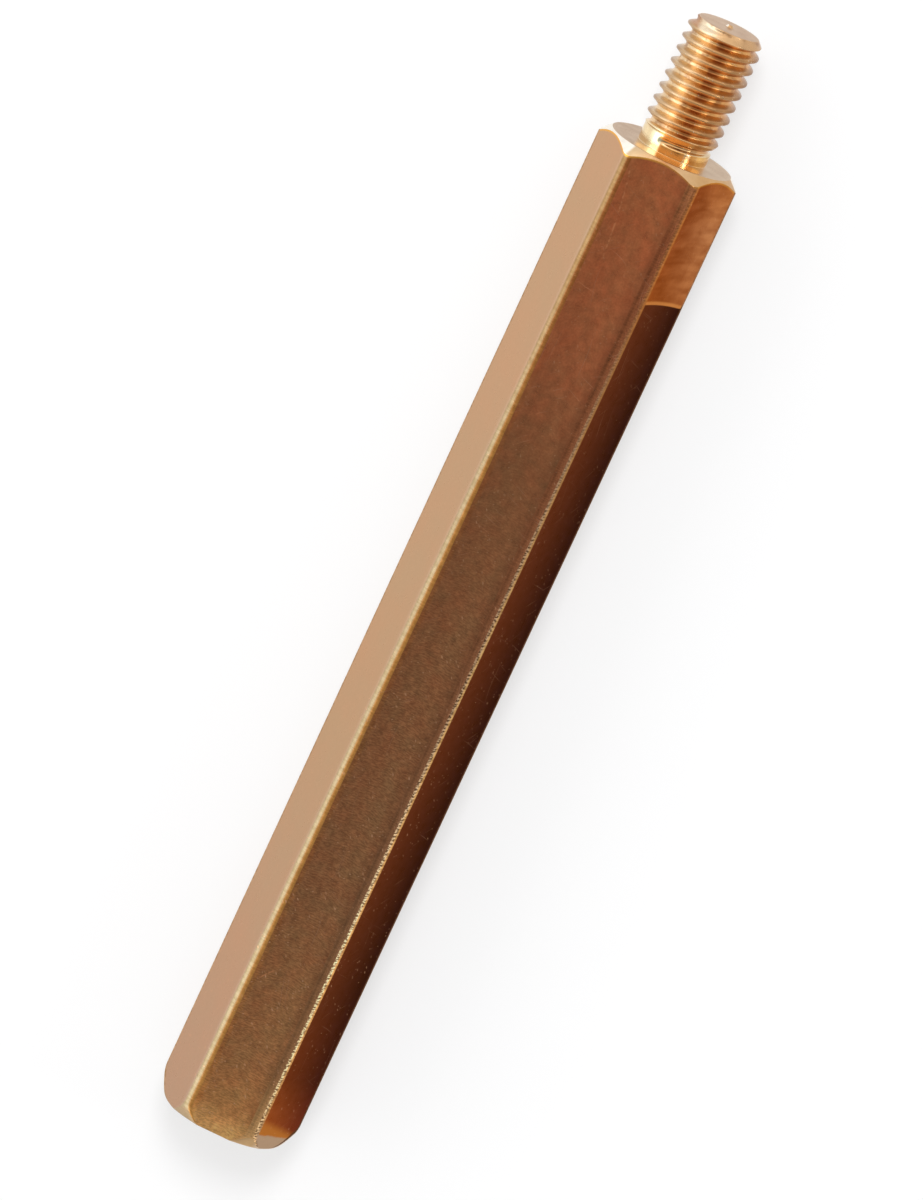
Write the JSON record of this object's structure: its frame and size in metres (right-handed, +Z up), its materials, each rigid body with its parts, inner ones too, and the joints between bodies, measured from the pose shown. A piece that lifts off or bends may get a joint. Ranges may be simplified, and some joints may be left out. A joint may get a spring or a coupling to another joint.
{
  "type": "hex standoff",
  "caption": "Long hexagonal spacer turned from bar, with a threaded stud at its tip and a blind threaded hole in its foot, for holding boards a fixed distance apart.",
  "frame": {"origin": "centre of the bottom of the whole part's box: under the axis, on the surface that the lowest flat lies on", "axes": "+X along the axis from the hole's end to the stud's tip, +Z up out of the flat opposite the one it lies on, +Y across the corners"},
  "size_m": [0.045, 0.0054, 0.0048],
  "materials": {
    "brass": "bare drawn and turned brass, satin with fine scratches, slightly darkened"
  },
  "bodies": {
    "root": {"standoff": "brass"}
  },
  "joints": []
}
